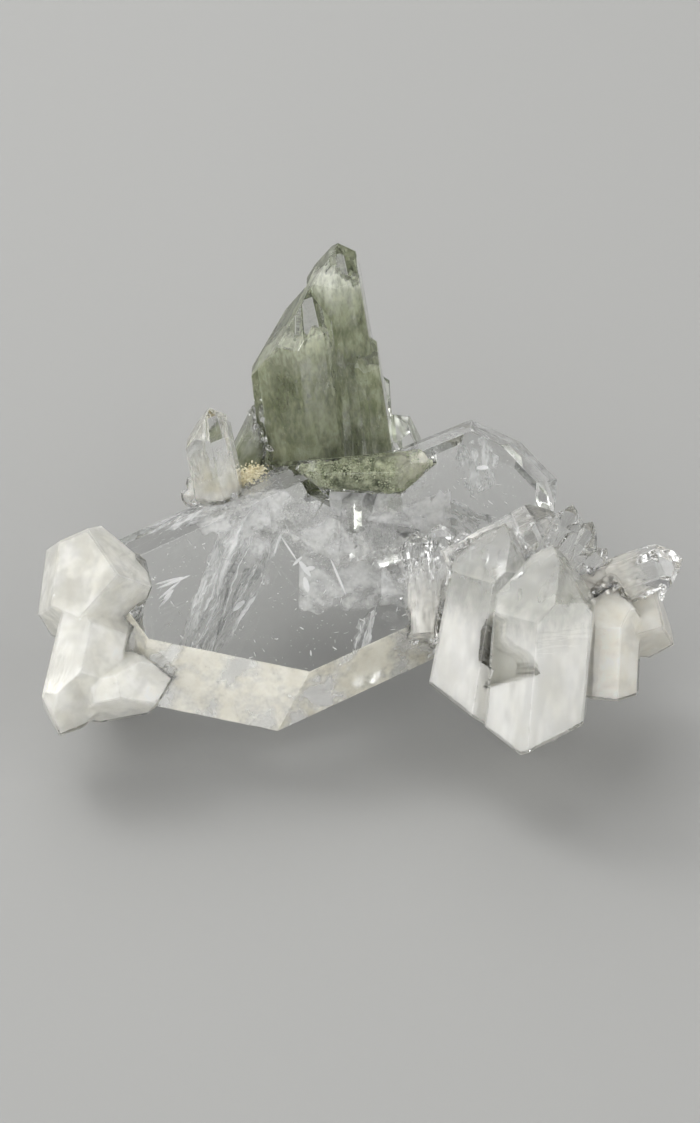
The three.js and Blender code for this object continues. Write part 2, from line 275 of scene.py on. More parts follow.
@dataclass(frozen=True)
class Cloud:
    """Something fine shut in the quartz: a haze of tiny bubbles, or specks of chlorite.

    The eye sees mottled patches that are solid in places and let the quartz show in others. The patches and
    grains are in millimetres.
    """

    name: str
    dark: str
    pale: str
    patch: float
    thin: float
    dense: float
    grain: float = 0.25
    lowest: float = 0.38
    highest: float = 0.62
    roughness: float = 0.7
    glow: float = 0.0
    axis: tuple[float, float, float] = UPRIGHT
    stretch: float = 1.0
    fade: Fade | None = None
    crest: Fade | None = None
    crest_tint: str = "#ffffff"
    bare_top: float = 1.0
    grain_share: float = 0.3
    relief: float = 0.5
    grain_height: float = 0.05
    scatter: float = 1.2

    @staticmethod
    def _share(tree: bpy.types.NodeTree, fade: Fade, waver: bpy.types.NodeSocket) -> bpy.types.NodeSocket:
        """How much is left along a fade, with an uneven border.

        Args:
            tree: the node tree.
            fade: the fade.
            waver: the noise that moves the border.

        Returns:
            The output that carries the share.
        """
        places = add(tree, "TexCoord").outputs["Object"]
        unit = Vector(fade.axis).normalized()
        along = add(tree, "VectorMath", {0: places, 1: unit}, operation="DOT_PRODUCT").outputs["Value"]
        width = abs(fade.end - fade.start)
        moved = add(tree, "Math", {0: waver, 1: width * MM, 2: along}, operation="MULTIPLY_ADD")
        limits = {"From Min": (fade.start + width / 2) * MM, "From Max": (fade.end + width / 2) * MM}
        shares = {"To Min": 1.0, "To Max": fade.left}
        share = add(tree, "MapRange", {"Value": moved, **limits, **shares}, interpolation_type="SMOOTHSTEP")
        return share.outputs[0]

    def _thinned(
        self, tree: bpy.types.NodeTree, cover: bpy.types.NodeSocket, waver: bpy.types.NodeSocket
    ) -> bpy.types.NodeSocket:
        """The cover where the cloud thins out, and on faces that look up.

        Args:
            tree: the node tree.
            cover: the cover elsewhere.
            waver: the noise that moves its border.

        Returns:
            The output that carries the thinned cover.
        """
        shares: list[bpy.types.NodeSocket] = []
        if self.fade is not None:
            shares.append(self._share(tree, self.fade, waver))
        if self.bare_top < 1:
            out = add(tree, "NewGeometry").outputs["Normal"]
            upward = add(tree, "VectorMath", {0: out, 1: Vector((0, 0, 1))}, operation="DOT_PRODUCT")
            limits = {"From Min": 0.45, "From Max": 0.8, "To Min": 1.0, "To Max": self.bare_top}
            shares.append(add(tree, "MapRange", {"Value": upward.outputs["Value"], **limits}).outputs[0])
        for share in shares:
            cover = add(tree, "Math", {0: cover, 1: share}, operation="MULTIPLY").outputs[0]
        return cover

    def _crested(
        self, tree: bpy.types.NodeTree, colour: bpy.types.NodeSocket, waver: bpy.types.NodeSocket
    ) -> bpy.types.NodeSocket:
        """The colour with its paler crest.

        Args:
            tree: the node tree.
            colour: the colour elsewhere.
            waver: the noise that moves the crest's border.

        Returns:
            The output that carries it.
        """
        if self.crest is None:
            return colour
        share = self._share(tree, self.crest, waver)
        tints = {0: share, 6: colour, 7: linear(self.crest_tint)}
        return add(tree, "Mix", tints, data_type="RGBA").outputs[2]

    def material(self) -> bpy.types.Material:
        """The finish as a material."""
        material, tree = blank_material(self.name)
        places = stretched_places(tree, self.axis, self.stretch)
        sizes = ((self.patch, 2.0, 0.62, 0.4), (self.grain, 1.0, 0.5, 0.0), (self.patch * 0.6, 4.0, 0.7, 0.0))
        noises: list[bpy.types.NodeSocket] = []
        for size, detail, rough, bent in sizes:
            pattern = {"Scale": per_metre(size), "Detail": detail, "Roughness": rough, "Distortion": bent}
            noises.append(add(tree, "TexNoise", {"Vector": places, **pattern}).outputs[0])
        patches, grains, blotches = noises
        mixed = add(tree, "Mix", {0: self.grain_share, 2: patches, 3: grains}, data_type="FLOAT")
        limits = {"From Min": self.lowest, "From Max": self.highest}
        covers = {"To Min": self.thin, "To Max": self.dense}
        cover = add(tree, "MapRange", {"Value": mixed, **limits, **covers}, interpolation_type="SMOOTHSTEP")
        shade = add(tree, "MapRange", {"Value": blotches, "From Min": 0.36, "From Max": 0.64})
        tints = {0: shade, 6: linear(self.dark), 7: linear(self.pale)}
        colour = add(tree, "Mix", tints, data_type="RGBA").outputs[2]
        inputs = {
            "Base Color": self._crested(tree, colour, blotches),
            "Normal": add(
                tree, "Bump", {"Height": grains, "Strength": self.relief, "Distance": self.grain_height * MM}
            ),
            "Roughness": self.roughness,
            "Subsurface Weight": self.glow,
            "Subsurface Radius": (1.0, 1.0, 1.0),
            "Subsurface Scale": self.scatter * MM,
        }
        if self.thin < 1:
            inputs["Alpha"] = self._thinned(tree, cover.outputs[0], blotches)
        add(tree, "OutputMaterial", {"Surface": add(tree, "BsdfPrincipled", inputs)})
        return material


# Tiny bubbles along the faden line: cottony white.
FADEN_COTTON = Cloud("fluid_inclusions_faden", "#fdfdfb", "#ffffff", 1.2, 1.0, 1.0, roughness=0.6)
# The same, much finer, as a soft fog beside the line.
FADEN_FOG = Cloud(
    "fluid_inclusions_fog", "#fdfdfb", "#ffffff", 2.4, 0.0, 0.8, lowest=0.36, highest=0.7, grain_share=0.12
)
# Healed cracks across the plate: grey-white feathers that show in streaks.
HEALED_VEIL = Cloud(
    "fluid_inclusions_veil",
    "#f6f7f6",
    "#ffffff",
    0.9,
    0.0,
    0.95,
    grain=0.12,
    grain_share=0.15,
    lowest=0.4,
    highest=0.62,
    axis=tuple(PLATE_RIGHT * -0.34 - PLATE_BACK * 0.94),
    stretch=0.3,
)
# Wisps of bubbles in the small clear crystals.
WISPS = Cloud(
    "quartz_wisps",
    "#faf8f1",
    "#fffefa",
    1.5,
    0.3,
    1.0,
    lowest=0.38,
    highest=0.58,
    grain_share=0.1,
    relief=0.1,
)
# Thick haze inside milky quartz, which glows through.
MILKY_HAZE = Cloud(
    "milky_quartz_haze",
    "#f1efe6",
    "#fffdf6",
    2.4,
    0.75,
    1.0,
    glow=0.6,
    roughness=0.5,
    grain=0.5,
    grain_share=0.15,
    relief=0.1,
    scatter=0.8,
)
# The same in the big block, which is clear at its top.
BLOCK_HAZE = replace(
    MILKY_HAZE,
    name="milky_quartz_haze_block",
    dark="#faf8f0",
    pale="#fffef8",
    thin=0.8,
    axis=BLOCK_AXIS,
    stretch=0.4,
    fade=Fade(BLOCK_AXIS, 6.8, 10.5, 0.15),
)
# The same with a breath of iron, on the far blocks.
WARM_HAZE = replace(MILKY_HAZE, name="warm_quartz_haze", dark="#f9f3e7", pale="#fffcf3", thin=0.85)
# Painted reflection: a warm white film under the plate's lower front bevels, where light reflected inside the
# plate comes out.
PAINTED_BEVEL_REFLECTION = Cloud(
    "painted_bevel_reflection", "#e9e5d6", "#fbf9ee", 2.6, 0.15, 0.8, grain_share=0.12, relief=0.1
)
# Chlorite dust on earlier surfaces of the tower: grey-green, in streaks along the prisms.
CHLORITE_DUST = Cloud(
    "chlorite_phantom",
    "#757c57",
    "#bfc4a6",
    2.0,
    0.35,
    0.9,
    grain=0.25,
    stretch=0.5,
    roughness=0.8,
    glow=0.3,
    lowest=0.34,
    highest=0.6,
)
CHLORITE_TALL = replace(
    CHLORITE_DUST,
    name="chlorite_phantom_tall",
    crest=Fade((0, 0, -1), -27.2, -24.5),
    crest_tint="#eef1e0",
    bare_top=0.15,
)
CHLORITE_BROAD = replace(
    CHLORITE_TALL,
    name="chlorite_phantom_broad",
    patch=2.8,
    crest=Fade((0, 0, -1), -23.2, -20.5),
    crest_tint="#dadec4",
)
# Moss of chlorite that fills a crystal: worm-like grains grown together, olive with a paler end.
CHLORITE_MOSS = Cloud(
    "chlorite_moss",
    "#4a5433",
    "#cfd3b6",
    1.2,
    0.75,
    1.0,
    grain=0.2,
    roughness=0.85,
    glow=0.3,
    crest=Fade((-1, 0, -0.2), -8.4, -4.6),
    crest_tint="#f1efdc",
)
# Single grains of chlorite, mossy and dark.
MOSS_GRAINS = Cloud("chlorite_grains", "#8d9670", "#dfe2c8", 0.7, 1.0, 1.0, grain=0.2, roughness=0.8)
DARK_GRAINS = Cloud("dark_chlorite_grains", "#5f674a", "#929b7a", 0.7, 1.0, 1.0, grain=0.2, roughness=0.8)
# Grains of quartz with a coat of iron rust.
OCHRE_GRAINS = Cloud("iron_stained_grains", "#d3c79c", "#fbf6de", 0.8, 1.0, 1.0, grain=0.2, glow=0.3)
# Painted reflection: air in an open crack mirrors white light, so the crack is drawn as a white body.
CRACK_PAINTED_REFLECTION = Cloud("open_crack_painted_reflection", "#ffffff", "#ffffff", 0.8, 1.0, 1.0, grain=0.2, roughness=0.2)


class Shading(Enum):
    """How a piece's faces are shaded."""

    FLAT = False
    SMOOTH = True


@dataclass
class Piece:
    """What a finished piece is called and stands for."""

    name: str
    finish: RockCrystal | Cloud
    slot: str
    stands_for: tuple[str, ...] = ()
    shading: Shading = Shading.FLAT


MATERIALS: dict[str, bpy.types.Material] = {}


def add_piece(piece: Piece, mesh: bmesh.types.BMesh) -> None:
    """Turns a mesh in millimetres into a piece of the object, which rides on the root.

    Args:
        piece: its name, finish and the nodes that it stands for.
        mesh: the shape, which is used up.
    """
    bmesh.ops.transform(mesh, matrix=Matrix.Scale(MM, 4), verts=mesh.verts)
    bmesh.ops.recalc_face_normals(mesh, faces=mesh.faces)
    data = bpy.data.meshes.new(piece.name)
    for each in mesh.faces:
        each.smooth = piece.shading.value
    mesh.to_mesh(data)
    mesh.free()
    made = placed(piece.name, data)
    if piece.finish.name not in MATERIALS:
        MATERIALS[piece.finish.name] = piece.finish.material()
    data.materials.append(MATERIALS[piece.finish.name])
    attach(made, BODY)
    if piece.stands_for:
        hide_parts(*piece.stands_for)
    LOG.info("%s: %d faces", piece.name, len(data.polygons))


def voxel_body(source: bmesh.types.BMesh, voxel: float) -> bmesh.types.BMesh:
    """A closed body of small even faces.

    Args:
        source: closed shapes, which may overlap. It is used up.
        voxel: the size of the new faces, in millimetres.

    Returns:
        The new mesh.
    """
    data = bpy.data.meshes.new("voxels")
    source.to_mesh(data)
    source.free()
    holder = placed("voxels", data)
    remesh = holder.modifiers.new("voxels", "REMESH")
    remesh.mode = "VOXEL"
    remesh.voxel_size = voxel
    shown = holder.evaluated_get(bpy.context.evaluated_depsgraph_get())
    result = bmesh.new()
    result.from_mesh(shown.to_mesh())
    shown.to_mesh_clear()
    bpy.data.objects.remove(holder)
    bpy.data.meshes.remove(data)
    return result


class Swarm:
    """Many small shapes in one mesh. They are made a handful at a time, which keeps the operators quick."""

    HANDFUL = 40

    def __init__(self) -> None:
        """Starts an empty swarm."""
        self.whole = bmesh.new()
        self.handful = bmesh.new()
        self.count = 0

    def next(self) -> bmesh.types.BMesh:
        """The mesh that takes the next small shape."""
        self.count += 1
        if self.count % self.HANDFUL == 0:
            self._pour()
        return self.handful

    def _pour(self) -> None:
        """Moves the handful into the whole."""
        poured_into(self.whole, self.handful)
        self.handful = bmesh.new()

    def all(self) -> bmesh.types.BMesh:
        """The whole swarm as one mesh."""
        self._pour()
        return self.whole


def poured_into(whole: bmesh.types.BMesh, part: bmesh.types.BMesh) -> None:
    """Adds a mesh to another and frees it.

    Args:
        whole: the mesh that grows.
        part: the mesh that is added.
    """
    data = bpy.data.meshes.new("poured")
    part.to_mesh(data)
    part.free()
    whole.from_mesh(data)
    bpy.data.meshes.remove(data)


class Solids:
    """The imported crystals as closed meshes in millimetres, with the seams between them grown shut."""

    def __init__(self) -> None:
        """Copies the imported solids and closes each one's seams."""
        self.shapes: dict[str, bmesh.types.BMesh] = {}
        self.trees: dict[str, BVHTree] = {}
        packed: list[BVHTree] = []
        for name in GROWTH_ORDER:
            shape = self._copied(name)
            before = BVHTree.FromBMesh(shape)
            self._close_seams(shape, packed)
            packed.append(before)
            bmesh.ops.dissolve_limit(shape, angle_limit=FLAT, verts=shape.verts, edges=shape.edges)
            self.shapes[name] = shape
            self.trees[name] = BVHTree.FromBMesh(shape)

    @staticmethod
    def _copied(name: str) -> bmesh.types.BMesh:
        """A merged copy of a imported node, in millimetres."""
        shape = bmesh.new()
        shape.from_mesh(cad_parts[name].data)
        bmesh.ops.transform(shape, matrix=Matrix.Scale(1 / MM, 4), verts=shape.verts)
        bmesh.ops.remove_doubles(shape, verts=shape.verts, dist=0.001)
        shape.normal_update()
        return shape

    @staticmethod
    def _faces_a_seam(spot: bmesh.types.BMFace, earlier: list[BVHTree]) -> bool:
        """True if a face lies a seam's width from a face of an earlier crystal and looks straight at it."""
        centre = spot.calc_center_median()
        for corner in [centre] + [v.co for v in spot.verts]:
            place = centre.lerp(corner, 0.7)
            for tree in earlier:
                found, out, _, gap = tree.find_nearest(place, SEAM * 1.3)
                if found is not None and out.dot(spot.normal) < -0.99 and abs(gap - SEAM) < 0.03:
                    return True
        return False

    def _close_seams(self, shape: bmesh.types.BMesh, earlier: list[BVHTree]) -> None:
        """Moves the faces of a seam a little way into the crystal that they look at.

        Args:
            shape: the crystal, whose faces keep their planes otherwise.
            earlier: the crystals that it was trimmed by.
        """
        at_seam = {each for each in shape.faces if self._faces_a_seam(each, earlier)}
        moves: dict[bmesh.types.BMVert, Vector] = {}
        for vert in shape.verts:
            planes: list[tuple[Vector, float]] = []
            for each in vert.link_faces:
                shift = SEAM + OVERLAP if each in at_seam else 0.0
                alike = [k for k, (out, _) in enumerate(planes) if out.dot(each.normal) > SAME_PLANE]
                if alike:
                    out, other = planes[alike[0]]
                    planes[alike[0]] = (out, max(other, shift))
                else:
                    planes.append((each.normal.copy(), shift))
            if any(shift for _, shift in planes):
                rows = np.array([out[:] for out, _ in planes])
                shifts = np.array([shift for _, shift in planes])
                move = Vector(np.linalg.lstsq(rows, shifts, rcond=0.05)[0])
                moves[vert] = move * min(1.0, 3 * SEAM / max(move.length, SEAM))
        before = {each: each.normal.copy() for each in shape.faces}
        for vert, move in moves.items():
            vert.co += move
        for _ in range(5):
            shape.normal_update()
            for each in self._folded(shape, before):
                for vert in each.verts:
                    if vert in moves:
                        moves[vert] = moves[vert] * 0.5
                        vert.co -= moves[vert]
        shape.normal_update()

    @staticmethod
    def _folded(
        shape: bmesh.types.BMesh, before: dict[bmesh.types.BMFace, Vector]
    ) -> list[bmesh.types.BMFace]:
        """The faces that got folded over.

        Args:
            shape: the crystal.
            before: the way that each face looked before its corners moved.

        Returns:
            The faces that look another way now, or overlap themselves.
        """
        covered = dict.fromkeys(shape.faces, 0.0)
        for a, b, c in shape.calc_loop_triangles():
            covered[a.face] += (b.vert.co - a.vert.co).cross(c.vert.co - a.vert.co).length / 2
        folded = []
        for each, area in covered.items():
            overlaps = area > each.calc_area() * 1.002 + 0.001
            if overlaps or (area > SPECK and each.normal.dot(before[each]) < 0.8):
                folded.append(each)
        return folded

    def copy(self, name: str) -> bmesh.types.BMesh:
        """A copy of a crystal with its seams shut, to be shaped further."""
        return self.shapes[name].copy()

    def inside(self, name: str, place: Vector) -> bool:
        """True if a point lies in a crystal: a straight line from it then leaves once more than it enters."""
        way = Vector((0.137, 0.291, 0.947))
        start, crossings = place, 0
        while (hit := self.trees[name].ray_cast(start, way))[0] is not None:
            crossings += 1
            start = hit[0] + way * HAIR
        return crossings % 2 == 1

    def depth(self, name: str, place: Vector) -> float:
        """How far a point lies under a crystal's surface.

        Args:
            name: the crystal's node.
            place: the point.

        Returns:
            Millimetres below the nearest face, and less than 0 outside.
        """
        gap = self.trees[name].find_nearest(place)[3]
        return gap if self.inside(name, place) else -gap

    def keep_inside(self, name: str, shape: bmesh.types.BMesh, margin: float) -> None:
        """Moves corners that lie too near a crystal's surface in under it.

        Args:
            name: the crystal's node.
            shape: the mesh inside it.
            margin: the least depth, in millimetres.
        """
        for _ in range(2):
            for vert in shape.verts:
                found, out, _, gap = self.trees[name].find_nearest(vert.co)
                if gap < margin * 0.99 or not self.inside(name, vert.co):
                    vert.co = found - out * margin


def cut_away(shape: bmesh.types.BMesh, through: Vector, outward: Vector) -> None:
    """Cuts a closed mesh flat and closes it again.

    Args:
        shape: the mesh.
        through: a point of the cut.
        outward: the side that goes.
    """
    geometry = shape.verts[:] + shape.edges[:] + shape.faces[:]
    cut = bmesh.ops.bisect_plane(shape, geom=geometry, plane_co=through, plane_no=outward, clear_outer=True)
    rim = [part for part in cut["geom_cut"] if isinstance(part, bmesh.types.BMEdge)]
    bmesh.ops.holes_fill(shape, edges=rim)


def push_in(shape: bmesh.types.BMesh, depth: float, waver: float, size: float, seed: float) -> None:
    """Moves a body's surface inwards by an uneven depth.

    Args:
        shape: the body.
        depth: how far at least, in millimetres.
        waver: how much further at most.
        size: the width of the unevenness.
        seed: where in the noise it is taken.
    """
    shape.normal_update()
    shift = Vector((seed, seed * 0.7, -seed))
    for vert in shape.verts:
        rough = noise.fractal(vert.co / size + shift, 0.9, 2.0, 4) * 0.5 + 0.5
        vert.co -= vert.normal * (depth + waver * min(max(rough, 0.0), 1.0))


def spindle(shape: bmesh.types.BMesh, start: Vector, end: Vector, radius: float) -> None:
    """Adds a three-sided needle that is thickest at its middle.

    Args:
        shape: the mesh that takes it.
        start: one tip.
        end: the other tip.
        radius: half its thickness.
    """
    middle = start.lerp(end, 0.5)
    length = (end - start).length
    turn = (end - start).to_track_quat("Z", "Y").to_matrix().to_4x4()
    place = Matrix.Translation(middle) @ turn
    grown = bmesh.ops.create_cone(
        shape, cap_ends=True, segments=3, radius1=radius, radius2=radius, depth=length * 0.5, matrix=place
    )["verts"]
    for tip, side in ((start, -1), (end, 1)):
        ring = [v for v in grown if (v.co - middle).dot(end - start) * side > 0]
        bmesh.ops.scale(
            shape, vec=(0.15, 0.15, 0.15), verts=ring, space=Matrix.Translation(-tip.lerp(middle, 0.5))
        )
        for vert in ring:
            vert.co += (tip - tip.lerp(middle, 0.5)) * 0.9


def sliver(shape: bmesh.types.BMesh, start: Vector, end: Vector, width: float, out: Vector) -> None:
    """Adds a flat pointed blade, as thin as a crack.

    Args:
        shape: the mesh that takes it.
        start: one tip.
        end: the other tip.
        width: half its width at the middle.
        out: the direction that its flat side looks, roughly.
    """
    along = (end - start).normalized()
    side = out.cross(along).normalized()
    over = along.cross(side)
    turn = Matrix((along, side, over)).transposed().to_4x4()
    stretch = Matrix.Diagonal(((end - start).length / 2, width, min(0.03, width * 0.4), 1))
    matrix = Matrix.Translation(start.lerp(end, 0.5)) @ turn @ stretch
    bmesh.ops.create_icosphere(shape, subdivisions=1, radius=1.0, matrix=matrix)


def tiny_point(
    shape: bmesh.types.BMesh, foot: Vector, axis: Vector, radius: float, length: float, turn: float
) -> None:
    """Adds a small quartz crystal: six prism faces and a six-sided tip.

    Args:
        shape: the mesh that takes it.
        foot: the middle of its hidden end.
        axis: the direction of its tip.
        radius: half its width.
        length: the height of the prism without the tip.
        turn: its turn about its axis, in radians.
    """
    upright = axis.to_track_quat("Z", "Y").to_matrix().to_4x4()
    place = Matrix.Translation(foot) @ upright @ Matrix.Rotation(turn, 4, "Z")
    tip_height = radius * math.tan(math.radians(TIP_ANGLE))
    for height, top, centre in ((length, radius, length / 2), (tip_height, 0.0, length + tip_height / 2)):
        bmesh.ops.create_cone(
            shape,
            cap_ends=True,
            segments=6,
            radius1=radius,
            radius2=top,
            depth=height,
            matrix=place @ Matrix.Translation((0, 0, centre)),
        )


def grain(shape: bmesh.types.BMesh, place: Vector, size: float, dice: random.Random) -> None:
    """Adds an angular grain.

    Args:
        shape: the mesh that takes it.
        place: its middle.
        size: half its width.
        dice: the source of its turn and proportions.
    """
    turn = Vector((dice.gauss(0, 1), dice.gauss(0, 1), dice.gauss(0, 1))).to_track_quat("Z", "Y")
    stretch = Matrix.Diagonal((dice.uniform(0.6, 1.4), dice.uniform(0.6, 1.4), dice.uniform(0.5, 1.0), 1))
    matrix = Matrix.Translation(place) @ turn.to_matrix().to_4x4() @ stretch
    bmesh.ops.create_icosphere(shape, subdivisions=1, radius=size, matrix=matrix)


def scattered(shape: bmesh.types.BMesh, count: int, dice: random.Random) -> list[tuple[Vector, Vector]]:
    """Points spread evenly over a mesh.

    Args:
        shape: the mesh.
        count: how many.
        dice: the source of their places.

    Returns:
        Each point with the direction that its face looks.
    """
    loops = shape.calc_loop_triangles()
    areas = [(b.vert.co - a.vert.co).cross(c.vert.co - a.vert.co).length for a, b, c in loops]
    spots = []
    for a, b, c in dice.choices(loops, weights=areas, k=count):
        first, second = sorted((dice.random(), dice.random()))
        place = a.vert.co * first + b.vert.co * (second - first) + c.vert.co * (1 - second)
        spots.append((place, a.face.normal.copy()))
    return spots


@dataclass
class Skin:
    """The clear outside of one crystal group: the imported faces, with edges as sharp as real quartz has."""

    solids: Solids
    node: str
    piece: Piece
    edge: float = 0.035

    def build(self) -> None:
        """Makes the skin in place of its node."""
        shape = self.solids.copy(self.node)
        bmesh.ops.dissolve_degenerate(shape, dist=0.04, edges=shape.edges)
        sharp = [e for e in shape.edges if e.is_manifold and e.calc_face_angle_signed(0) > SHARP]
        bmesh.ops.bevel(
            shape,
            geom=sharp,
            offset=self.edge,
            offset_type="OFFSET",
            affect="EDGES",
            segments=1,
            profile=0.5,
            material=-1,
            clamp_overlap=False,
        )
        add_piece(self.piece, shape)


@dataclass(frozen=True)
class Pit:
    """A clear window in a milky crystal: the haze steps back behind a jagged outline.

    The outline lies on an upright plane across the cluster, and is carried along the line of sight.
    """

    outline: tuple[tuple[float, float], ...]
    plane: float = -12.0
    drop: float = 0.767
    reach: float = 3.0
    depth: float = 4.0

    def _within(self, across: float, height: float) -> bool:
        """True if a point of the plane lies in the outline."""
        inside = False
        for (x, z), (next_x, next_z) in zip(self.outline, self.outline[1:] + self.outline[:1]):
            if (z > height) != (next_z > height) and across < (next_x - x) * (height - z) / (next_z - z) + x:
                inside = not inside
        return inside

    def press(self, core: bmesh.types.BMesh) -> None:
        """Moves the haze back along the line of sight.

        Args:
            core: the hazy body.
        """
        core.normal_update()
        sight = Vector((0, 1, -self.drop)).normalized()
        for vert in core.verts:
            behind = vert.co.y - self.plane
            if abs(behind) < self.reach and vert.normal.dot(sight) < -0.1:
                if self._within(vert.co.x, vert.co.z + behind * self.drop):
                    vert.co += sight * self.depth


# The jagged window of the big block.
BLOCK_WINDOW = Pit(
    (
        *((8.34, 14.35), (8.82, 14.6), (9.49, 14.03), (9.37, 12.69), (10.05, 11.86), (10.55, 11.65)),
        *((11.05, 11.03), (11.34, 9.79), (9.81, 9.16), (8.2, 8.53), (8.8, 9.99), (7.8, 10.82)),
        (7.97, 13.1),
    )
)


@dataclass
class MilkyGroup:
    """Milky crystals: a clear skin over a cloudy core that follows its faces."""

    solids: Solids
    node: str
    skin_name: str
    core_name: str
    haze: Cloud
    clarity: RockCrystal
    depth: float = 0.12
    waver: float = 0.14
    pits: tuple[Pit, ...] = ()
    voxel: float = 0.12

    def build(self) -> None:
        """Makes the skin and its core."""
        skin = Piece(self.skin_name, self.clarity, "milky_quartz", (self.node,))
        Skin(self.solids, self.node, skin).build()
        core = voxel_body(self.solids.copy(self.node), self.voxel)
        push_in(core, self.depth, self.waver, 2.2, 3.0)
        for pit in self.pits:
            pit.press(core)
        self.solids.keep_inside(self.node, core, self.depth * 0.6)
        add_piece(Piece(self.core_name, self.haze, "milky_quartz", shading=Shading.SMOOTH), core)


@dataclass
class FadenPlate:
    """The clear tabular crystal, its milky faden thread, healed veils, open cracks and a painted reflection
    under its lower bevels.
    """

    solids: Solids
    node: str = "faden_plate"
    thread: tuple[tuple[float, float], ...] = (
        (-9.0, 6.0),
        (-6.2, 4.4),
        (-3.5, 3.1),
        (-0.8, 1.7),
        (3.4, 2.9),
        (6.8, 4.1),
    )
    thread_width: float = 1.1
    needles: int = 2400
    specks: int = 3000
    dust_count: int = 1800
    dice: random.Random = field(default_factory=lambda: random.Random(11))

    def _along(self, share: float) -> tuple[float, float, float]:
        """The place of a share of the thread's length in the plate, and the slope of its line."""
        legs = len(self.thread) - 1
        leg = min(int(share * legs), legs - 1)
        part = share * legs - leg
        (a, b), (c, d) = self.thread[leg], self.thread[leg + 1]
        return a + (c - a) * part, b + (d - b) * part, math.atan2(d - b, c - a)

    def _spot(self, right: Span, back: Span, out: Span) -> Vector:
        """A random point of the plate.

        Args:
            right: the least and the most to the right.
            back: the same up the slope.
            out: the same above the mid-plane.

        Returns:
            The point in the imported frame.
        """
        return on_plate(self.dice.uniform(*right), self.dice.uniform(*back), self.dice.uniform(*out))

    def skin(self) -> None:
        """The plate itself."""
        clear = RockCrystal("rock_crystal_plate", axis=tuple(PLATE_RIGHT), density=12.0, etched=0.08)
        Skin(self.solids, self.node, Piece("clear_tablet", clear, "clear_quartz", (self.node,))).build()

    def faden(self) -> None:
        """The faden: short needles across the line, in the plane of the plate, and specks between them."""
        swarm = Swarm()
        for _ in range(self.needles):
            right, back, slope = self._along(self.dice.random())
            spread = self.dice.gauss(0, self.thread_width * 0.45)
            lean = slope + math.pi / 2 + self.dice.gauss(0, 0.35)
            aside, up = -math.sin(slope) * spread, math.cos(slope) * spread
            middle = on_plate(right + aside, back + up, self.dice.gauss(0.4, 0.9))
            way = PLATE_RIGHT * math.cos(lean) + PLATE_BACK * math.sin(lean)
            way += PLATE_OUT * self.dice.gauss(0, 0.3)
            length = self.dice.uniform(0.15, 0.7)
            if self.solids.depth(self.node, middle) > length:
                spindle(swarm.next(), middle - way * length / 2, middle + way * length / 2, 0.02)
        for _ in range(self.specks):
            right, back, slope = self._along(self.dice.random())
            spread = self.dice.gauss(0, self.thread_width)
            aside, up = -math.sin(slope) * spread, math.cos(slope) * spread
            middle = on_plate(right + aside, back + up, self.dice.gauss(0.4, 1.0))
            if self.solids.depth(self.node, middle) > 0.15:
                grain(swarm.next(), middle, self.dice.uniform(0.012, 0.03), self.dice)
        add_piece(Piece("faden_thread", FADEN_COTTON, "milky_quartz"), swarm.all())

    def _veil(self, shape: bmesh.types.BMesh, start: Vector, end: Vector, rise: Vector, bend: float) -> None:
        """Adds a thin wavy sheet.

        Args:
            shape: the mesh that takes it.
            start: the middle of one end.
            end: the middle of the other end.
            rise: from its middle line to its upper rim.
            bend: how far it waves, in millimetres.
        """
        sheet = bmesh.new()
        bmesh.ops.create_grid(sheet, x_segments=28, y_segments=10, size=1.0)
        out = (end - start).cross(rise).normalized()
        for vert in sheet.verts:
            ragged = 1 + 0.35 * noise.noise(Vector((vert.co.x * 3, vert.co.y * 3, start.x)))
            place = start.lerp(end, vert.co.x * 0.5 + 0.5) + rise * vert.co.y * ragged
            wave = noise.noise(place * 0.5) + 0.4 * noise.noise(place * 1.7)
            vert.co = place + out * wave * bend
        bmesh.ops.recalc_face_normals(sheet, faces=sheet.faces)
        bmesh.ops.solidify(sheet, geom=sheet.faces[:], thickness=0.02)
        self.solids.keep_inside(self.node, sheet, 0.1)
        poured_into(shape, sheet)

    def veils(self) -> None:
        """Healed cracks: sheets through the plate's thickness, which lean."""
        shape = bmesh.new()
        lines = (
            ((-7.9, 3.8), (-10.7, -6.0), 0.5),
            ((-7.4, 2.0), (-9.9, -6.6), 0.35),
            ((-5.2, 2.3), (-9.0, -6.4), 0.4),
            ((-6.6, 0.5), (-10.2, -7.8), 0.3),
            ((-13.0, 2.5), (-8.5, 5.8), 0.6),
            ((1.2, -3.2), (0.6, -6.0), 0.25),
            ((8.4, 10.2), (9.4, 6.4), 0.5),
            ((5.2, 5.4), (9.8, 2.6), 0.6),
        )
        for (right, back), (far_right, far_back), lean in lines:
            rise = (PLATE_OUT + PLATE_RIGHT * lean) * 2.0
            self._veil(shape, on_plate(right, back, 0.2), on_plate(far_right, far_back, 0.2), rise, 0.35)
        add_piece(Piece("plate_veils", HEALED_VEIL, "milky_quartz", shading=Shading.SMOOTH), shape)

